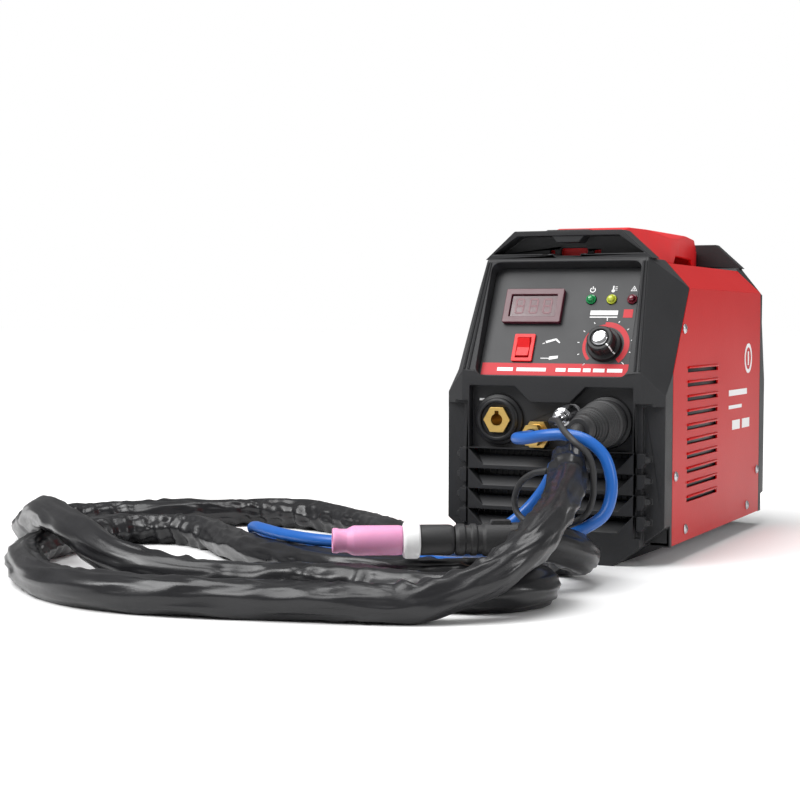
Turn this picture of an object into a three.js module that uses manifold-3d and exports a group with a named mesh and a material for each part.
// A small inverter TIG welder: a moulded front and rear around a folded steel cover, with its
// inverter inside, and a torch on a sleeved cable plugged into the front.
// Millimetres. X to the right seen from the front, Y towards the back, Z up. While it is drawn,
// Y is measured from the flat of the front grille; the whole model is centred at the end.
import * as THREE from "three";
import { ConvexGeometry } from "three/addons/geometries/ConvexGeometry.js";
import { mergeVertices } from "three/addons/utils/BufferGeometryUtils.js";
import Module from "manifold-3d";

const wasm = await Module();
wasm.setup();

// ---- Driving dimensions ----
const caseWidth = 176;
const caseDepth = 328;
const coverTop = 229.5; // flat top of the steel cover
const coverBottom = 13.5;
const coverChamfer = 21.5; // sloped top edges of the cover
const sheet = 1.5; // steel cover and base
const gap = 0.3; // between pieces that touch

const rimSetBack = 10; // the outer rim of the front stands behind the grille's flat
const seamY = 30; // where the front moulding meets the cover, low down
const rearSeamFromBack = 22;
const flareLow = 128; // the front narrows between these heights
const flareHigh = 145;
const faceHalfWidth = 72;
const topHalfWidth = 66;
const bezelTop = 232;
const faceLean = 0.42; // run over rise of the leaning upper front
const seamLean = 0.66;
const bezelWall = 3;

const archTop = 254;
const archHalfTop = 44;
const archDepth = 20;
const archBorder = 4;
const archWeb = 4;
const rearArch = 10;
const windowWidth = 22;
const windowLow = 234.5;
const windowHigh = 241;

const grilleHalfTop = 66.5; // louvre rows are wide at the top and narrow at the bottom
const grilleHalfBottom = 54;
const louvrePitch = 15.7;
const louvreHeight = 12.6;
const lowestLouvre = 25.4;
const louvreRows = 4;
const louvreDepth = 8;
const grilleWall = 11;

const columnInner = 67.5; // stepped columns beside the louvres
const columnOuter = 80;
const columnTop = 122;
const columnDepth = 5;

const socketRecessHalf = 66;
const socketRecessLow = 86;
const socketRecessHigh = 134;
const socketRecessDepth = 8;
const socketX = 43.8;
const socketZ = 107.4;
const socketRing = 20;
const socketBore = 4.6;

const panelHalfWidth = 61;
const panelLow = 140;
const panelLength = 94; // along its own slope
const panelLean = 0.47;
const panelY = 5; // foot of the panel behind the grille's flat
const panelThick = 2;

const displayWidth = 48;
const displayHeight = 29;
const displayX = -24;
const knobX = 38;
const knobSkirt = 13.5;
const knobBody = 10.5;
const knobHeight = 15;
const ledX = [21.5, 38, 54.5];
const ledRadius = 3;
const rockerWidth = 13;
const rockerLength = 19;

const footFlatInner = 35;
const footFlatOuter = 51;
const footInner = 24;
const rimChamferZ = 29.5;
const rimChamferDepth = 16;

const louvreCount = 10;
const sideSlotPitch = 11.2;
const sideSlotTop = 146;
const sideSlotLength = 90;
const sideSlotHeight = 3.4;
const sideSlotY = 70;

const handleTop = 259;
const handleSkirt = 239;
const handleMidHalf = 40;
const handleEndHalf = 26;
const handleWall = 4;

const fanSize = 80;
const fanDepth = 25;
const fanZ = 78;
const fanBlades = 7;

const screwHead = 4;
const screwRise = 1.6;

const sleeveRadius = 12;
const hoseRadius = 4.3;
const controlRadius = 2.3;
const leadRadius = 5;

// ---- Materials ----
const paint = (color, roughness, metalness = 0) =>
  new THREE.MeshStandardMaterial({ color, roughness, metalness });
const blackAbs = paint(0x1c1d1f, 0.55);
const redSteel = paint(0xd01c1a, 0.35, 0.2);
const redAbs = paint(0xd8202a, 0.4);
const zinc = paint(0xb9bcc0, 0.35, 0.9);
const chrome = paint(0xd8d8da, 0.12, 1);
const brass = paint(0xc49a3a, 0.3, 1);
const darkPanel = paint(0x2a2b2e, 0.6);
const rubber = paint(0x202124, 0.75);
const redLens = paint(0x5a1220, 0.15);
const ceramic = paint(0xe59bc4, 0.6);
const ptfe = paint(0xf2f2f2, 0.5);
const sleeveHide = paint(0x18191a, 0.6);
const blueHose = paint(0x1763c0, 0.4);
const board = paint(0x1f5a34, 0.7);
const alloy = paint(0xa8abb0, 0.4, 0.9);
const copper = paint(0xb46a3c, 0.4, 0.8);
const blackCan = paint(0x2b2b33, 0.4);
const tungsten = paint(0x8d8f93, 0.35, 0.9);

// ---- Solids ----
const bare = (geometry) => {
  const g = geometry.clone();
  g.deleteAttribute("normal");
  g.deleteAttribute("uv");
  return mergeVertices(g, 1e-4);
};

function solid(geometry) {
  const g = bare(geometry);
  return new wasm.Manifold(
    new wasm.Mesh({
      numProp: 3,
      vertProperties: new Float32Array(g.attributes.position.array),
      triVerts: new Uint32Array(g.index.array),
    }),
  );
}

function fromSolid(made) {
  const mesh = made.getMesh();
  const g = new THREE.BufferGeometry();
  g.setAttribute("position", new THREE.BufferAttribute(mesh.vertProperties, 3));
  g.setIndex(new THREE.BufferAttribute(mesh.triVerts, 1));
  g.computeVertexNormals();
  return g;
}

const join = (...geometries) => fromSolid(geometries.map(solid).reduce((a, b) => a.add(b)));
const cut = (body, ...tools) =>
  fromSolid(tools.map(solid).reduce((a, b) => a.subtract(b), solid(body)));
const common = (a, b) => fromSolid(solid(a).intersect(solid(b)));

// A box between two corners.
function block([x0, y0, z0], [x1, y1, z1]) {
  return new THREE.BoxGeometry(x1 - x0, y1 - y0, z1 - z0).translate(
    (x0 + x1) / 2,
    (y0 + y1) / 2,
    (z0 + z1) / 2,
  );
}

const outline = (points) => new THREE.Shape(points.map(([x, y]) => new THREE.Vector2(x, y)));

// An outline drawn in X and Z, thickened along Y from y0 to y1.
function slabY(points, y0, y1) {
  const shape = Array.isArray(points) ? outline(points) : points;
  return new THREE.ExtrudeGeometry(shape, { depth: y1 - y0, bevelEnabled: false, curveSegments: 6 })
    .rotateX(Math.PI / 2)
    .translate(0, y1, 0);
}

// An outline drawn in Y and Z, thickened along X from x0 to x1.
function slabX(points, x0, x1) {
  const shape = Array.isArray(points) ? outline(points) : points;
  return new THREE.ExtrudeGeometry(shape, { depth: x1 - x0, bevelEnabled: false, curveSegments: 6 })
    .rotateX(Math.PI / 2)
    .rotateZ(Math.PI / 2)
    .translate(x0, 0, 0);
}

// An outline drawn in X and Y, thickened along Z from z0 to z1.
function slabZ(points, z0, z1) {
  const shape = Array.isArray(points) ? outline(points) : points;
  return new THREE.ExtrudeGeometry(shape, {
    depth: z1 - z0,
    bevelEnabled: false,
    curveSegments: 6,
  }).translate(0, 0, z0);
}

// A rectangle centred on (cx, cy) with round corners.
function roundRect(cx, cy, width, height, radius) {
  const s = new THREE.Shape();
  const x = cx - width / 2;
  const y = cy - height / 2;
  s.moveTo(x + radius, y);
  s.lineTo(x + width - radius, y);
  s.absarc(x + width - radius, y + radius, radius, -Math.PI / 2, 0, false);
  s.lineTo(x + width, y + height - radius);
  s.absarc(x + width - radius, y + height - radius, radius, 0, Math.PI / 2, false);
  s.lineTo(x + radius, y + height);
  s.absarc(x + radius, y + height - radius, radius, Math.PI / 2, Math.PI, false);
  s.lineTo(x, y + radius);
  s.absarc(x + radius, y + radius, radius, Math.PI, Math.PI * 1.5, false);
  return s;
}

// A turned piece along Y: each profile point is [radius, y]; the first and last are on the axis.
function turned(profile, x, z, sides = 24) {
  return new THREE.LatheGeometry(
    profile.map(([r, y]) => new THREE.Vector2(r, y)),
    sides,
  ).translate(x, 0, z);
}
const rod = (r, y0, y1, x, z, sides) => turned([[0, y0], [r, y0], [r, y1], [0, y1]], x, z, sides);
// A hexagon along Y with flats above and below.
const hexRod = (r, y0, y1, x, z) => rod(r, y0, y1, 0, 0, 6).rotateY(Math.PI / 6).translate(x, 0, z);
const ring = (outer, inner, y0, y1, x, z, sides) =>
  turned([[inner, y0], [outer, y0], [outer, y1], [inner, y1], [inner, y0]], x, z, sides);

// A curve through hand-placed points, stopped more often where it bends.
class Route extends THREE.Curve {
  constructor(points, turn = 0.36, longest = 55) {
    super();
    const places = points.map((p) => new THREE.Vector3(...p));
    this.curve = new THREE.CatmullRomCurve3(places, false, "centripetal");
    this.stops = [0];
    const fine = points.length * 12;
    let last = this.curve.getTangent(0);
    let from = places[0];
    for (let i = 1; i < fine; i++) {
      const tangent = this.curve.getTangent(i / fine);
      const place = this.curve.getPoint(i / fine);
      if (tangent.angleTo(last) < turn && place.distanceTo(from) < longest) continue;
      this.stops.push(i / fine);
      last = tangent;
      from = place;
    }
    this.stops.push(1);
  }
  stop(u) {
    return this.stops[Math.round(u * (this.stops.length - 1))];
  }
  getPointAt(u) {
    return this.curve.getPoint(this.stop(u));
  }
  getTangentAt(u) {
    return this.curve.getTangent(this.stop(u));
  }
}

// A round tube along hand-placed points.
function tube(points, radius, sides) {
  const route = new Route(points);
  const corners = Array.from({ length: sides }, (_, i) => {
    const a = (i / sides) * Math.PI * 2;
    return [radius * Math.cos(a), radius * Math.sin(a)];
  });
  return new THREE.ExtrudeGeometry(outline(corners), {
    steps: route.stops.length - 1,
    bevelEnabled: false,
    extrudePath: route,
  });
}

const welder = new THREE.Group();
function add(name, geometry, material, parent = welder) {
  const mesh = new THREE.Mesh(geometry, material);
  mesh.name = name;
  parent.add(mesh);
  return mesh;
}

// ---- Shared lines of the case ----
const half = caseWidth / 2;
const rearSeam = caseDepth - rearSeamFromBack;
const coverShoulder = coverTop - (coverChamfer * 20) / 21.5;
const topFlat = half - coverChamfer;
const faceY = (z) => Math.max(0, z - flareHigh) * faceLean;
const seamAt = (z) => seamY + Math.max(0, z - flareHigh) * seamLean;

// The end view of the cover, seen along Y; inset moves it inwards.
function coverOutline(inset, bottom = coverBottom) {
  const w = half - inset;
  const k = inset * 0.41;
  return [
    [-w, bottom],
    [w, bottom],
    [w, coverShoulder - k],
    [topFlat - k, coverTop - inset],
    [-topFlat + k, coverTop - inset],
    [-w, coverShoulder - k],
  ];
}

const feetOutline = (w, outerZ) => [
  [-w, outerZ],
  [-footFlatOuter, 0],
  [-footFlatInner, 0],
  [-footInner, coverBottom - 0.5],
  [footInner, coverBottom - 0.5],
  [footFlatInner, 0],
  [footFlatOuter, 0],
  [w, outerZ],
];

const hull = (points) => new ConvexGeometry(points.map((p) => new THREE.Vector3(...p)));
const bothSides = (points) => points.flatMap(([x, y, z]) => [[x, y, z], [-x, y, z]]);

// ---- Front moulding ----
function archOutline(inset = 0, halfBase = topHalfWidth + 2.5, base = bezelTop) {
  return [
    [-halfBase + inset * 1.6, base + inset],
    [halfBase - inset * 1.6, base + inset],
    [archHalfTop - inset * 0.6, archTop - inset],
    [-archHalfTop + inset * 0.6, archTop - inset],
  ];
}

// A guard across the top, pocketed between a raised border and a thin web.
function arch(y0, y1, pocketFromFront) {
  const pocketDepth = y1 - y0 - archWeb;
  const [p0, p1] = pocketFromFront ? [y0 - 1, y0 + pocketDepth] : [y1 - pocketDepth, y1 + 1];
  const pocket = slabY(archOutline(archBorder), p0, p1);
  const boss = slabY(
    [
      [-9, windowHigh + 4],
      [9, windowHigh + 4],
      [17, archTop + 0.01],
      [-17, archTop + 0.01],
    ],
    y0 + 1,
    y1 - 1,
  );
  const opening = slabY(
    roundRect(0, (windowLow + windowHigh) / 2, windowWidth, windowHigh - windowLow, 1.5),
    y0 - 5,
    y1 + 5,
  );
  const holes = [
    block([-20, y0 - 1, windowLow + 1], [-16, y1 + 1, windowHigh - 1.5]),
    block([16, y0 - 1, windowLow + 1], [22, y1 + 1, windowHigh - 1.5]),
  ];
  return cut(join(cut(slabY(archOutline(), y0, y1), pocket), boss), opening, ...holes);
}

const louvreRow = (i) => lowestLouvre + i * louvrePitch;

// One louvre row: a wedge cut into the face that opens into a slot under its upper lip.
function louvreCut(i) {
  const z0 = louvreRow(i);
  const z1 = z0 + louvreHeight;
  const ends = slabY(
    [
      [-grilleHalfBottom, z0],
      [grilleHalfBottom, z0],
      [grilleHalfTop, z1],
      [-grilleHalfTop, z1],
    ],
    -2,
    grilleWall + 2,
  );
  const wedge = slabX(
    [
      [-1, z0],
      [0, z0],
      [louvreDepth, z1 - 5],
      [grilleWall + 1, z1 - 5],
      [grilleWall + 1, z1 - 1],
      [1.5, z1],
      [-1, z1],
    ],
    -half,
    half,
  );
  return common(ends, wedge);
}

// Two raised lines up each side of the leaning face.
function faceLines() {
  const low = flareHigh + 1.5;
  const high = bezelTop - 2;
  const line = (side, atLow, atHigh) =>
    hull(
      [
        [faceHalfWidth - atLow, low],
        [topHalfWidth - atHigh, high],
      ].flatMap(([x, z]) =>
        [x - 0.7, x + 0.7].flatMap((e) => [
          [side * e, faceY(z) - 1.1, z],
          [side * e, faceY(z) + 2, z],
        ]),
      ),
    );
  return [-1, 1].flatMap((side) => [line(side, 1.4, 1.2), line(side, 5, 3.4)]);
}

// The stepped blocks of the side columns, one pair to each louvre row.
function columnBlocks(i) {
  const z0 = louvreRow(i);
  const z1 = z0 + louvreHeight;
  const rim = rimSetBack;
  return [-1, 1].flatMap((side) => [
    hull(
      [
        [columnInner + 1.2, 1.4, z0 + 1.5],
        [columnInner + 1.2, 1.4, z1],
        [columnInner + 7.4, 1.4, z1],
        [columnInner + 7.4, 1.4, z0 + 5],
        [columnInner + 5, 1.4, z0 + 1.5],
        [columnInner + 1.2, rim + 2, z0 + 1.5],
        [columnInner + 1.2, rim + 2, z1],
        [columnInner + 7.4, rim + 2, z1],
        [columnInner + 7.4, rim + 2, z0 + 5],
        [columnInner + 5, rim + 2, z0 + 1.5],
      ].map(([x, y, z]) => [side * x, y, z]),
    ),
    hull(
      [
        [columnInner + 7, 3.4, z0 + 5],
        [columnInner + 7, 3.4, z1 - 2],
        [columnOuter - 1.6, 5, z1 - 3],
        [columnOuter - 1.6, 5, z0 + 6],
        [columnInner + 7, rim + 2, z0 + 5],
        [columnInner + 7, rim + 2, z1 - 2],
        [columnOuter - 1.6, rim + 2, z1 - 3],
        [columnOuter - 1.6, rim + 2, z0 + 6],
      ].map(([x, y, z]) => [side * x, y, z]),
    ),
  ]);
}

function frontBezel() {
  const rim = rimSetBack;
  const lower = join(
    slabY(
      [...feetOutline(half, rimChamferZ), [half, flareLow], [-half, flareLow]],
      rim,
      rim + rimChamferDepth,
    ),
    slabY(
      [...feetOutline(half - 6, coverBottom - 0.5), [half, coverBottom - 0.5], [half, flareLow], [-half, flareLow], [-half, coverBottom - 0.5]],
      rim + rimChamferDepth - 1,
      seamY,
    ),
    slabY(
      [...feetOutline(faceHalfWidth, 15), [faceHalfWidth, flareHigh], [-faceHalfWidth, flareHigh]],
      0,
      seamY,
    ),
  );
  const waist = hull(
    bothSides([
      [faceHalfWidth, 0, flareHigh],
      [faceHalfWidth, 0, flareLow - 8],
      [half, rim, flareLow],
      [half, rim, flareLow - 8],
      [half, seamY, flareLow - 8],
      [half, seamY, flareHigh],
    ]),
  );
  const upper = hull(
    bothSides([
      [faceHalfWidth, 0, flareHigh],
      [half, seamY, flareHigh],
      [topHalfWidth, faceY(bezelTop), bezelTop],
      [half, seamAt(coverShoulder), coverShoulder],
      [topFlat, seamAt(coverTop), coverTop],
      [topFlat - 2, seamAt(coverTop) - 2, bezelTop],
    ]),
  );
  const guard = arch(faceY(bezelTop) + 1, faceY(bezelTop) + 1 + archDepth, true);
  const columnCut = [-1, 1].map((side) =>
    block(
      [Math.min(side * columnInner, side * columnOuter), -1, lowestLouvre - 4],
      [Math.max(side * columnInner, side * columnOuter), columnDepth, columnTop],
    ),
  );
  const steps = Array.from({ length: louvreRows }, (_, i) => columnBlocks(i)).flat();
  const plain = join(lower, waist, upper, guard, ...faceLines());
  const shell = join(cut(plain, ...columnCut), ...steps);

  const hollowLow = slabY(
    [
      [-half + bezelWall, coverBottom + 3],
      [half - bezelWall, coverBottom + 3],
      [half - bezelWall, flareLow - 4],
      [-half + bezelWall, flareLow - 4],
    ],
    grilleWall + 4,
    seamY + 1,
  );
  const innerFace = slabY(
    [
      [-faceHalfWidth + bezelWall, coverBottom + 3],
      [faceHalfWidth - bezelWall, coverBottom + 3],
      [faceHalfWidth - bezelWall, flareHigh - 4],
      [-faceHalfWidth + bezelWall, flareHigh - 4],
    ],
    grilleWall,
    seamY + 1,
  );
  const deep = 26; // room behind the panel
  const hollowHigh = hull(
    bothSides([
      [faceHalfWidth - 5, deep, flareLow - 10],
      [faceHalfWidth - 5, deep, flareHigh],
      [topHalfWidth - 5, deep + faceY(bezelTop - 6), bezelTop - 6],
      [half - 4, seamY + 2, flareLow - 10],
      [half - 4, seamY + 2, flareHigh],
      [half - 4, seamAt(coverShoulder) + 2, coverShoulder - 3],
      [topFlat - 3, seamAt(coverTop) + 4, coverTop - 4],
    ]),
  );
  const recess = slabY(
    [
      [-socketRecessHalf, socketRecessLow],
      [socketRecessHalf, socketRecessLow],
      [socketRecessHalf, socketRecessHigh],
      [28.5, socketRecessHigh],
      [16, socketRecessHigh - 12],
      [-16, socketRecessHigh - 12],
      [-28.5, socketRecessHigh],
      [-socketRecessHalf, socketRecessHigh],
    ],
    -1,
    socketRecessDepth,
  );
  const bores = [
    ...[-1, 1].map((s) => rod(10.4, 0, seamY + 4, s * socketX, socketZ, 24)),
    rod(6.4, 0, seamY + 4, gasX, gasZ, 20),
    rod(6.4, 0, seamY + 4, controlX, controlZ, 20),
  ];
  const rows = Array.from({ length: louvreRows }, (_, i) => louvreCut(i));
  return cut(shell, hollowLow, innerFace, hollowHigh, recess, panelWell(), ...rows, ...bores);
}

// ---- Control panel, in its own leaning frame ----
const panelAngle = Math.atan(panelLean);
const panelFrame = new THREE.Group();
panelFrame.position.set(0, panelY, panelLow);
panelFrame.rotation.x = -panelAngle;
welder.add(panelFrame);
panelFrame.updateMatrix();

function panelWell() {
  const well = slabY(
    roundRect(0, panelLength / 2, 2 * panelHalfWidth + 2 * gap, panelLength + 2 * gap, 7),
    -30,
    40,
  );
  return well.applyMatrix4(panelFrame.matrix);
}

const gasX = -10;
const gasZ = 97;
const controlX = 16.5;
const controlZ = 114;

const knobV = 28; // heights up the panel
const displayV = 60;
const ledV = 66.5;
const rockerV = 25;
const stripV = 7;

function panelPieces() {
  const plate = slabY(
    roundRect(0, panelLength / 2, 2 * panelHalfWidth, panelLength, 6.7),
    0,
    panelThick,
  );
  const holes = [
    rod(4.2, -5, 5, knobX, knobV, 20),
    ...ledX.map((x) => rod(ledRadius + 1.2, -5, 5, x, ledV, 16)),
    block([displayX - displayWidth / 2 + 2, -5, displayV - displayHeight / 2 + 2], [displayX + displayWidth / 2 - 2, 5, displayV + displayHeight / 2 - 2]),
    block([displayX - 3 - rockerWidth / 2 - 0.5, -5, rockerV - rockerLength / 2 - 0.5], [displayX - 3 + rockerWidth / 2 + 0.5, 5, rockerV + rockerLength / 2 + 0.5]),
  ];
  add("control_panel", cut(plate, ...holes), darkPanel, panelFrame);

  // Display: a stepped frame snapped into the panel, and its window.
  const frameOuter = slabY(roundRect(displayX, displayV, displayWidth, displayHeight, 1.5), -4, -gap);
  const window = block(
    [displayX - displayWidth / 2 + 5, -6, displayV - displayHeight / 2 + 5],
    [displayX + displayWidth / 2 - 5, 12, displayV + displayHeight / 2 - 5],
  );
  const neck = block(
    [displayX - displayWidth / 2 + 2 + gap, -1, displayV - displayHeight / 2 + 2 + gap],
    [displayX + displayWidth / 2 - 2 - gap, 8, displayV + displayHeight / 2 - 2 - gap],
  );
  add("display_frame", cut(join(frameOuter, neck), window), redLens, panelFrame);
  add(
    "display_window",
    block(
      [displayX - displayWidth / 2 + 5 + gap, -2.2, displayV - displayHeight / 2 + 5 + gap],
      [displayX + displayWidth / 2 - 5 - gap, 2, displayV + displayHeight / 2 - 5 - gap],
    ),
    redLens,
    panelFrame,
  );

  // Indicator lamps: domed lenses in snap-in holders.
  ["power", "heat", "overcurrent"].forEach((use, i) => {
    const r = ledRadius;
    const lens = turned(
      [[0, -4.2], [r * 0.6, -3.9], [r, -2.6], [r, -1.4], [r + 1, -1.4], [r + 1, -gap], [r + 0.7, -gap], [r + 0.7, 7], [0, 7]],
      ledX[i],
      ledV,
      14,
    );
    add("lamp_" + use, lens, [blueHose, brass, redLens][i], panelFrame);
  });

  // Current knob: skirt, fluted grip and pointer, with a bright cap, on the potentiometer's shaft.
  const flutes = Array.from({ length: 9 }, (_, i) => {
    const a = (i / 9) * Math.PI * 2;
    return rod(1.6, -knobHeight - 1, -4.5, knobX + (knobBody + 0.9) * Math.cos(a), knobV + (knobBody + 0.9) * Math.sin(a), 10);
  });
  const knobSolid = join(
    turned(
      [[0, -knobHeight + 1], [knobBody - 1, -knobHeight + 1], [knobBody, -knobHeight + 2], [knobBody, -4], [knobSkirt - 0.6, -3.4], [knobSkirt, -2.6], [knobSkirt, -0.6], [0, -0.6]],
      knobX,
      knobV,
      28,
    ),
    rod(3, -1, 9.4, knobX, knobV, 16),
  );
  const groove = ring(7.4, 6.6, -knobHeight - 2, -knobHeight + 2, knobX, knobV, 28);
  add("current_knob", cut(knobSolid, ...flutes, groove), blackAbs, panelFrame);
  add(
    "potentiometer",
    cut(
      join(rod(8.5, 4, 16, knobX, knobV, 24), rod(3.9, -gap + 0.4, 6, knobX, knobV, 20), block([knobX - 7, 12, knobV - 15], [knobX + 7, 14, knobV])),
      rod(3.3, -2, 10, knobX, knobV, 20),
    ),
    zinc,
    panelFrame,
  );

  // Mode switch: a snap-in housing and the rocker that tips in it.
  const rx = displayX - 3;
  const rim = slabY(roundRect(rx, rockerV, rockerWidth + 4, rockerLength + 4, 1), -1.8, -gap);
  const body = block([rx - rockerWidth / 2 - 0.2, -1, rockerV - rockerLength / 2 - 0.2], [rx + rockerWidth / 2 + 0.2, 14, rockerV + rockerLength / 2 + 0.2]);
  const well = block([rx - rockerWidth / 2 + 1, -3, rockerV - rockerLength / 2 + 1], [rx + rockerWidth / 2 - 1, 9, rockerV + rockerLength / 2 - 1]);
  add("mode_switch_body", cut(join(rim, body), well), redAbs, panelFrame);
  add("mode_rocker", rockerShape(rx, rockerV, rockerWidth - 2.8, rockerLength - 4, -1), redAbs, panelFrame);
}

// A rocker that faces -Y (facing = -1) or +Y (facing = 1), tipped one way at rest.
function rockerShape(x, z, width, length, facing) {
  const l = length / 2;
  const f = facing;
  const side = [
    [f * 0.6, -l],
    [f * 2.8, -l + 0.3],
    [f * 1.7, 0],
    [f * 4.4, l - 0.5],
    [f * 1.6, l],
    [f * -2.6, 2.6],
    [f * -3.4, 0],
    [f * -2.6, -2.6],
  ].map(([a, b]) => [a, b + z]);
  return slabX(side, x - width / 2, x + width / 2);
}

// ---- Sockets and fittings on the front ----
function sockets() {
  const y = socketRecessDepth;
  ["negative", "positive"].forEach((pole, i) => {
    const x = i ? socketX : -socketX;
    const flange = cut(
      turned(
        [[0, y - 7], [15.5, y - 7], [17, y - 5.6], [17, y - 3.4], [socketRing, y - 2.6], [socketRing, y - gap], [10, y - gap], [10, y + 20], [0, y + 20]],
        x,
        socketZ,
        28,
      ),
      rod(13.4, y - 8, y - 3.5, x, socketZ, 32),
      rod(7.9, y - 4, y + 21, x, socketZ, 24),
    );
    add("socket_" + pole, flange, blackAbs);
    const hex = hexRod(11, y - 6.4, y - 3.8, x, socketZ);
    const barrel = join(hex, rod(7.6, y - 4, y + 24, x, socketZ, 24), rod(4, y + 23, y + 36, x, socketZ, 16));
    const bore = rod(socketBore, y - 8, y + 20, x, socketZ, 24);
    const keyway = block([x - 1.6, y - 8, socketZ], [x + 1.6, y + 14, socketZ + socketBore + 2.2]);
    add("socket_" + pole + "_contact", cut(barrel, bore, keyway), brass);
  });

  // Gas outlet: a hexagon on a threaded body held by a nut behind the panel.
  const gas = join(
    hexRod(11.5, y - 8.5, y - gap, gasX, gasZ),
    rod(6, y - 1, y + 16, gasX, gasZ, 20),
    rod(8, y - 13, y - 8, gasX, gasZ, 24),
  );
  add("gas_outlet", cut(gas, rod(3, y - 14, y + 17, gasX, gasZ, 14)), brass);
  const control = join(
    rod(7.2, y - 2.5, y - gap, controlX, controlZ, 24),
    rod(6, y - 9, y + 14, controlX, controlZ, 20),
  );
  add("control_socket", control, chrome);
}

// ---- Steel cover and base ----
function coverPiece() {
  const shell = cut(
    slabY(coverOutline(0), seamY - 5, rearSeam - gap),
    slabY(coverOutline(sheet, coverBottom - 5), seamY - 6, rearSeam + 1),
  );
  const beyond = slabX(
    [
      [seamY - 10, 0],
      [seamY + gap, 0],
      [seamY + gap, flareHigh],
      [seamAt(coverTop + 20) + gap, coverTop + 20],
      [seamY - 10, coverTop + 20],
    ],
    -half - 5,
    half + 5,
  );
  const slots = [];
  for (let i = 0; i < louvreCount; i++) {
    const z = sideSlotTop - i * sideSlotPitch;
    slots.push(block([-half - 5, sideSlotY, z - sideSlotHeight / 2], [half + 5, sideSlotY + sideSlotLength, z + sideSlotHeight / 2]));
  }
  const holes = screwPlaces.map(([y, z]) => block([-half - 5, y - 1.6, z - 1.6], [half + 5, y + 1.6, z + 1.6]));
  return cut(shell, beyond, ...slots, ...holes);
}

const lowScrewZ = 23;
const screwPlaces = [
  [seamAt(178) + 7, 178],
  [seamY + 8, 66],
  [66, lowScrewZ],
  [262, lowScrewZ],
  [rearSeam - 9, 52],
];

function screws() {
  for (const side of [1, -1])
    screwPlaces.forEach(([y, z], i) => {
      const head = turned(
        [
          [0, 0],
          [1.4, 0],
          [1.4, sheet + gap],
          [screwHead, sheet + gap],
          [2.4, sheet + gap + screwRise],
          [0, sheet + gap + screwRise],
        ],
        0,
        0,
        10,
      ).rotateZ(-Math.PI / 2);
      if (side < 0) head.rotateZ(Math.PI);
      head.translate(side * (half - sheet), y, z);
      add("cover_screw_" + (side > 0 ? "right_" : "left_") + (i + 1), head, zinc);
    });
}

function basePlate() {
  const inner = half - sheet - gap;
  const y0 = seamY + 2;
  const y1 = rearSeam - 2;
  const tray = cut(
    slabY([[-inner, coverBottom], [inner, coverBottom], [inner, lowScrewZ + 9], [-inner, lowScrewZ + 9]], y0, y1),
    slabY([[-inner + sheet, coverBottom + sheet], [inner - sheet, coverBottom + sheet], [inner - sheet, lowScrewZ + 20], [-inner + sheet, lowScrewZ + 20]], y0 - 1, y1 + 1),
  );
  const holes = screwPlaces.map(([y, z]) => block([-half, y - 1.8, z - 1.8], [half, y + 1.8, z + 1.8]));
  return cut(tray, ...holes);
}

// ---- Handle: a moulded channel between the two guards, its ends standing on the cover ----
const handleFront = faceY(bezelTop) + archDepth + 4;
const handleBack = caseDepth - rearArch - 2.6;
const handleFoot = bezelTop + gap;

function handlePiece() {
  const a = handleFront;
  const b = handleBack;
  const middle = a + (b - a) * 0.52;
  const plan = (inset) => [
    [-handleEndHalf + inset, a],
    [handleEndHalf - inset, a],
    [handleMidHalf - inset, middle - 14],
    [handleMidHalf - inset, middle + 14],
    [handleEndHalf - inset, b],
    [-handleEndHalf + inset, b],
    [-handleMidHalf + inset, middle + 14],
    [-handleMidHalf + inset, middle - 14],
  ];
  const side = slabX(
    [
      [a, handleFoot],
      [b, handleFoot],
      [b, handleTop - 12],
      [b - 16, handleTop - 1],
      [b - 60, handleTop],
      [a + 40, handleTop],
      [a, handleTop - 7],
    ],
    -half,
    half,
  );
  const crown = slabY(
    [
      [-handleMidHalf - 1, handleFoot - 1],
      [handleMidHalf + 1, handleFoot - 1],
      [handleMidHalf + 1, handleTop - 6],
      [handleMidHalf - 6, handleTop + 0.5],
      [-handleMidHalf + 6, handleTop + 0.5],
      [-handleMidHalf - 1, handleTop - 6],
    ],
    a - 1,
    b + 1,
  );
  const outside = common(common(slabZ(plan(0), coverTop, handleTop + 1), side), crown);
  const room = common(
    slabZ(plan(handleWall), coverTop, handleTop - 9),
    block([-half, a + handleWall * 2, 0], [half, b - 30, handleTop]),
  );
  const fingers = slabX(
    [
      [middle - 2, coverTop],
      [b - 24, coverTop],
      [b - 32, handleSkirt],
      [middle + 6, handleSkirt],
    ],
    -half,
    half,
  );
  return cut(outside, room, fingers);
}

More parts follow.
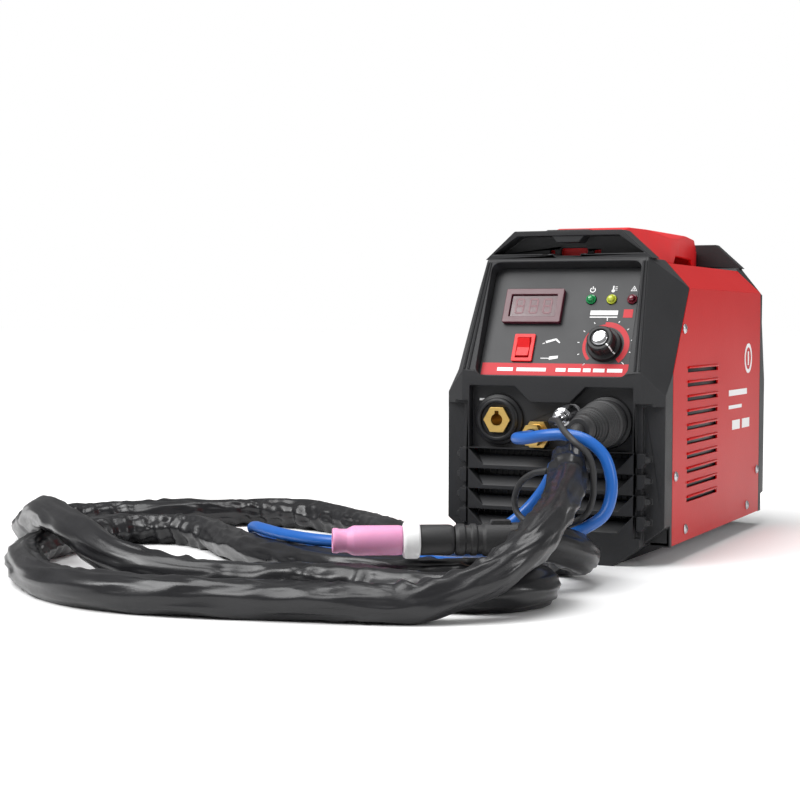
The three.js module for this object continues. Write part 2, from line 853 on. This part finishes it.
// ---- Rear moulding ----
function rearBezel() {
  const y0 = rearSeam;
  const y1 = caseDepth;
  const rimDepth = 14;
  const lower = join(
    slabY([...feetOutline(half, rimChamferZ), [half, flareLow], [-half, flareLow]], y1 - rimDepth, y1 - 4),
    slabY([...feetOutline(half - 6, coverBottom - 0.5), [half, coverBottom - 0.5], [half, flareLow], [-half, flareLow], [-half, coverBottom - 0.5]], y0, y1 - rimDepth + 1),
    slabY([...feetOutline(faceHalfWidth, 15), [faceHalfWidth, flareHigh], [-faceHalfWidth, flareHigh]], y0, y1),
  );
  const upper = hull(
    bothSides([
      [faceHalfWidth, y1, flareHigh],
      [faceHalfWidth, y1, flareLow - 8],
      [half, y1 - 4, flareLow],
      [half, y0, flareLow - 4],
      [half, y1 - 4, flareLow - 4],
      [topHalfWidth, y1 - 5, bezelTop],
      [half, y0, coverShoulder],
      [topFlat, y0, coverTop],
      [topFlat - 2, y0 + 3, bezelTop],
      [half - 5, y1 - 6, coverShoulder - 2],
    ]),
  );
  const guard = arch(y1 - rearArch - 2, y1 - 2, false);
  const hollow = slabY(coverOutline(4, coverBottom + 3), y0 - 1, y1 - bezelWall);
  const fanHole = rod(fanSize / 2 - 3, y1 - 10, y1 + 2, 0, fanZ, 40);
  const switchHole = block([-48, y1 - 10, 166], [-20, y1 + 2, 190]);
  const glandHole = rod(8.4, y1 - 10, y1 + 2, 34, 178, 24);
  const inletHole = rod(5.4, y1 - 10, y1 + 2, 55, 150, 20);
  const studHole = rod(3.4, y1 - 10, y1 + 2, -58, 32, 16);
  const screwHoles = fanHoles(2.4, y1 - 10, y1 + 2);
  return cut(join(lower, upper, guard), hollow, fanHole, switchHole, glandHole, inletHole, studHole, ...screwHoles);
}

const fanHoles = (r, y0, y1) =>
  [-1, 1].flatMap((sx) => [-1, 1].map((sz) => rod(r, y0, y1, sx * (fanSize / 2 - 4), fanZ + sz * (fanSize / 2 - 4), 14)));

function rearPieces() {
  const y = caseDepth;
  const inside = y - bezelWall - gap;
  // Fan: square frame with four spokes and a motor seat, and the bladed rotor inside it.
  const frameBlock = slabY(roundRect(0, fanZ, fanSize, fanSize, 4), inside - fanDepth, inside);
  const frame = cut(frameBlock, rod(fanSize / 2 - 3, inside - fanDepth - 1, inside + 1, 0, fanZ, 40), ...fanHoles(2.2, inside - fanDepth - 1, inside + 1));
  const spokes = [0, 1, 2, 3].map((i) =>
    block([-1.5, inside - 3, 10], [1.5, inside, fanSize / 2 - 1]).rotateY((i * Math.PI) / 2 + Math.PI / 4).translate(0, 0, fanZ),
  );
  add("fan_frame", join(frame, ...spokes, rod(14, inside - 3, inside, 0, fanZ, 28), rod(2, inside - 12, inside - 2, 0, fanZ, 12)), blackAbs);
  const hub = cut(rod(14.5, inside - fanDepth + 3, inside - 3.6, 0, fanZ, 32), rod(2.6, inside - 14, inside - 3, 0, fanZ, 16));
  const blades = Array.from({ length: fanBlades }, (_, i) =>
    block([-1, -9, 12], [1, 9, fanSize / 2 - 4.2])
      .rotateZ(0.75)
      .rotateY((i / fanBlades) * Math.PI * 2)
      .translate(0, inside - fanDepth / 2 - 1.5, fanZ),
  );
  add("fan_rotor", join(hub, ...blades), blackAbs);

  // Finger guard: concentric wires on two crossing bars, screwed at the corners.
  const wire = 1;
  const rings = [12, 22, 32].map((r) => ring(r + wire, r - wire, y + 2.4, y + 4.2, 0, fanZ, 28));
  const bars = [1, -1].map((s) =>
    block([-1.2, y + 1.2, -fanSize * 0.64], [1.2, y + 2.8, fanSize * 0.64]).rotateY((s * Math.PI) / 4).translate(0, 0, fanZ),
  );
  const lugs = fanHoles(4, y + gap, y + 2.8);
  add("fan_guard", join(...rings, ...bars, ...lugs), zinc);

  // Mains switch, cable gland, gas inlet and earth stud.
  const sx = -34;
  const sz = 178;
  const rim = slabY(roundRect(sx, sz, 31, 26, 1.5), y + gap, y + 2);
  const body = block([sx - 13.6, y - 20, sz - 11.6], [sx + 13.6, y + 1, sz + 11.6]);
  const well = block([sx - 12, y - 6, sz - 10], [sx + 12, y + 4, sz + 10]);
  add("mains_switch_body", cut(join(rim, body), well), blackAbs);
  add("mains_rocker", rockerShape(sx, sz, 22.6, 18.4, 1).translate(0, y, 0), redAbs);
  const gland = turned(
    [[4.2, y - 12], [8, y - 12], [8, y + gap], [11.5, y + gap], [11.5, y + 5], [10, y + 6], [9, y + 16], [7, y + 18], [4.2, y + 18], [4.2, y - 12]],
    34,
    sz,
    24,
  );
  add("cable_gland", gland, blackAbs);
  const inlet = turned(
    [[1.8, y - 10], [5, y - 10], [5, y + gap], [8, y + gap], [8, y + 5], [4, y + 6], [4.6, y + 8], [3.4, y + 11], [4.6, y + 12], [3.2, y + 16], [1.8, y + 16], [1.8, y - 10]],
    55,
    150,
    20,
  );
  add("gas_inlet", inlet, brass);
  add("earth_stud", join(rod(3, y - 8, y + 14, -58, 32, 14), rod(6.2, y + gap, y + 5, -58, 32, 6)), brass);
}

// ---- Inverter ----
function internals() {
  const floor = coverBottom + sheet + gap;
  // Bottom board on four pillars that are part of it.
  const boardY0 = 60;
  const boardY1 = 268;
  const boardZ = floor + 8;
  const pillars = [-1, 1].flatMap((s) => [boardY0 + 10, boardY1 - 10].map((y) => block([s * 64 - 3, y - 3, floor], [s * 64 + 3, y + 3, boardZ + 0.5])));
  add("power_board", join(block([-74, boardY0, boardZ], [74, boardY1, boardZ + 2]), ...pillars), board);
  const onBoard = boardZ + 2 + gap;
  const finned = (x0, x1, y0, y1, z0, z1, fins, dir) => {
    const backBar = dir > 0 ? block([x0, y0, z0], [x0 + 5, y1, z1]) : block([x1 - 5, y0, z0], [x1, y1, z1]);
    const each = Array.from({ length: fins }, (_, i) => {
      const z = z0 + (i / (fins - 1)) * (z1 - z0 - 2);
      return block([x0, y0, z], [x1, y1, z + 2]);
    });
    return join(backBar, ...each);
  };
  add("heat_sink_left", finned(-72, -40, 78, 210, onBoard, onBoard + 74, 8, -1), alloy);
  add("heat_sink_right", finned(40, 72, 78, 210, onBoard, onBoard + 74, 8, 1), alloy);
  const core = cut(block([-26, 150, onBoard], [26, 205, onBoard + 52]), block([-15, 140, onBoard + 10], [15, 215, onBoard + 20]), block([-15, 140, onBoard + 32], [15, 215, onBoard + 42]));
  add("transformer_core", core, blackCan);
  const coil = block([-15 + gap, 142, onBoard + 10 + gap], [15 - gap, 213, onBoard + 42 - gap]);
  const leg = block([-16, 150 - gap, onBoard + 20 - gap], [16, 205 + gap, onBoard + 32 + gap]);
  add("transformer_winding", cut(coil, leg), copper);
  const can = turned([[0, 0], [15, 0], [15, 42], [14, 44], [0, 44]], 0, 0, 28).rotateX(Math.PI / 2);
  add("bulk_capacitor", can.translate(0, 108, onBoard), blackCan);
  // Gas valve behind the gas inlet.
  add("gas_valve", join(block([44, 252, 126], [68, 292, 150]), block([48, 256, 150], [64, 276, 176])), zinc);
  // Display board behind the panel, in the panel's frame.
  add("display_board", block([-50, 18, 10], [50, 20, 82]), board, panelFrame);
}

// ---- Torch, its cords and plugs. These places are chosen by hand. ----
const sleeveRoute = [
  [43, -74, 88], [49, -92, 78], [57, -122, 70], [65, -156, 62], [71, -192, 54], [70, -228, 42],
  [54, -260, 25], [22, -286, 13], [-18, -301, 12.3], [-60, -312, 12.3], [-105, -322, 12.3],
  [-150, -329, 12.3], [-195, -326, 12.3], [-240, -306, 12.3], [-283, -268, 12.3], [-318, -226, 12.3],
  [-341, -182, 12.3], [-354, -134, 12.3], [-358, -88, 12.3], [-344, -52, 12.3], [-310, -38, 12.3],
  [-272, -52, 12.3], [-236, -82, 12.3], [-200, -114, 12.3], [-160, -143, 12.3], [-115, -167, 12.3],
  [-70, -178, 12.3], [-25, -175, 12.3], [12, -163, 12.3], [44, -165, 12.3], [64, -188, 12.3],
  [62, -216, 12.3], [38, -236, 12.3], [0, -240, 12.3], [-40, -236, 12.3], [-80, -238, 12.3],
  [-125, -249, 12.5], [-170, -262, 14], [-215, -260, 22], [-258, -238, 32], [-298, -208, 37.4],
  [-340, -172, 37.4], [-380, -132, 27], [-418, -92, 15], [-444, -50, 12.3], [-444, -6, 12.3],
  [-420, 28, 12.3], [-385, 50, 12.3], [-352, 78, 12.3], [-315, 101, 12.3], [-272, 102, 12.3],
  [-230, 88, 12.3], [-192, 64, 12.3], [-160, 33, 12.3], [-132, 2, 12.3], [-100, -24, 12.3],
  [-62, -42, 12.3], [-22, -50, 12.3], [12, -56, 12.3], [40, -66, 13.5], [57, -86, 18],
  [62, -108, 24], [57, -130, 31], [46.4, -146.9, 36.6], [37.3, -152.2, 37],
];
const hoseRoute = [
  [-10, -5.6, 97], [-10, -34, 97], [-6, -52, 97.5], [6, -64, 98.5], [22, -70, 101], [38, -72, 102],
  [54, -72, 99], [67, -71, 89], [73, -72, 74], [74, -75, 60], [71, -81, 48], [62, -90, 40],
  [47, -104, 32], [24, -122, 26], [-8, -142, 25], [-40, -156, 27], [-75, -166, 29],
  [-112, -163, 29.2], [-148, -147, 29.2], [-180, -124, 29.4], [-194, -108, 28], [-206, -92, 24.4], [-212, -62, 12],
  [-196, -36, 5.5], [-162, -28, 4.8], [-122, -44, 4.8], [-84, -64, 5], [-48, -76, 11],
  [-20, -77, 26], [-2, -70, 38], [10, -64, 50], [20, -63, 63], [26, -66, 73], [30, -71, 80],
];
const controlRoute = [
  [16.5, -30.8, 110], [17, -40, 109.5], [22, -54, 111.5], [32, -69, 111.5], [42, -81, 105],
  [52, -88, 98.5], [61, -88, 91], [65, -88, 81], [66, -89, 71], [66, -91, 60], [63, -94, 50],
  [55, -95, 44], [43, -92, 39.5], [29, -88, 37.5], [15, -84, 40], [5, -81, 48], [4, -80, 58],
  [9, -82, 68], [19, -85, 75], [32, -89, 78],
];
const leadRoute = [
  [39.6, -48, 104.6], [39.6, -50.8, 104.4], [40.2, -55.7, 100.5], [41, -61.5, 95.6],
  [42.5, -71.8, 89.9],
];

function torch() {
  add("torch_sleeve", tube(sleeveRoute, sleeveRadius, 10), sleeveHide);
  add("gas_hose", tube(hoseRoute, hoseRadius, 8), blueHose);
  add("control_cable", tube(controlRoute, controlRadius, 8), rubber);

  // Torch plug: a ribbed rubber boot on the twist-lock pin.
  const plug = new THREE.Group();
  plug.position.set(socketX, 0, socketZ);
  welder.add(plug);
  const boot = turned(
    [[0, -0.6], [16.6, -0.6], [18, -2.5], [18, -8], [16.8, -9.5], [15, -24], [13.6, -25], [13.6, -27], [14.2, -28], [12.6, -29], [12.6, -31], [13, -32], [11.4, -33], [11.4, -35], [11.8, -36], [10.4, -37], [9, -47], [0, -47]].reverse(),
    0,
    0,
    20,
  );
  const shear = new THREE.Matrix4().makeShear(0, 0, 0.09, 0.06, 0, 0);
  const pin = rod(socketBore - gap, -2, 22, 0, 0, 16);
  const key = block([-1.2, -2, 0], [1.2, 12, socketBore + 1.6]);
  add("torch_plug_boot", join(boot.applyMatrix4(shear), pin, key), rubber, plug);
  add("torch_lead", tube(leadRoute, leadRadius, 8), rubber);

  // Control plug screwed on its socket, its cable bending out of a short sleeve.
  const droop = 0.14;
  const plugBody = turned([[0, -28], [3.6, -28], [3.6, -22], [5.6, -21], [5.6, -16], [7.2, -15], [7.2, 0], [0, 0]], 0, 0);
  add("control_plug", plugBody.rotateX(droop).translate(controlX, -2.6, controlZ), chrome);

  // Gas hose nut.
  add("hose_nut", cut(hexRod(9, -12.5, -5.5, gasX, gasZ), rod(hoseRadius + 2 * gap, -13, -5, gasX, gasZ)), brass);

  // The torch lies on the cable: ceramic nozzle, insulating ring, head, handle and trigger.
  const handset = new THREE.Group();
  handset.position.set(36, -153, 37);
  handset.rotation.z = Math.atan2(0.864, -0.504) - Math.PI; // its own -Y points to the nozzle
  welder.add(handset);
  const at = (profile, sides = 28) => turned(profile, 0, 0, sides);
  const nozzle = at([[5.2, -126], [7.6, -126], [8, -125.4], [8, -115], [10, -112], [10, -79.5], [7, -79.5], [7, -112], [5.2, -114], [5.2, -126]]);
  add("ceramic_nozzle", nozzle, ceramic, handset);
  add("insulating_ring", at([[7, -79.2], [9, -79.2], [12.4, -78], [12.4, -68.4], [10.5, -67.6], [7, -67.6], [7, -79.2]]), ptfe, handset);
  add("torch_head", at([[0, -100], [6.7, -100], [6.7, -67.3], [10.2, -67.3], [10.4, -46], [9, -44.6], [0, -44.6]]), blackAbs, handset);
  add("electrode", at([[0, -120], [0.7, -118], [1.2, -112], [1.2, -100.3], [0, -100.3]], 12), tungsten, handset);
  const grip = cut(
    at([[0, -44.3], [9.4, -44.3], [10.8, -42], [10.8, -38], [9.8, -37], [9.8, -34], [10.8, -33], [10.8, -30], [9.8, -29], [9.8, -26], [11.4, -24], [11.4, -0.4], [0, -0.4]]),
    block([-4.2, -20, 4.6], [4.2, -6, 14]),
  );
  add("torch_handle", grip, blackAbs, handset);
  add("torch_trigger", block([-3.8, -19.6, 7], [3.8, -6.4, 13.4]), redAbs, handset);
}

add("front_bezel", frontBezel(), blackAbs);
add("rear_bezel", rearBezel(), blackAbs);
add("cover", coverPiece(), redSteel);
add("base_plate", basePlate(), zinc);
add("carry_handle", handlePiece(), redAbs);
panelPieces();
sockets();
screws();
rearPieces();
internals();
torch();

// Centre the body, without the cords, over the origin.
const cordPieces = new Set([
  "torch_sleeve", "gas_hose", "control_cable", "torch_lead", "torch_plug_boot", "control_plug",
  "hose_nut", "ceramic_nozzle", "insulating_ring", "torch_head", "electrode", "torch_handle",
  "torch_trigger",
]);
welder.updateMatrixWorld(true);
const body = new THREE.Box3();
welder.traverse((piece) => {
  if (piece.isMesh && !cordPieces.has(piece.name)) body.expandByObject(piece, true);
});
const centre = body.getCenter(new THREE.Vector3());
welder.position.set(-centre.x, -centre.y, -body.min.z);

export default welder;
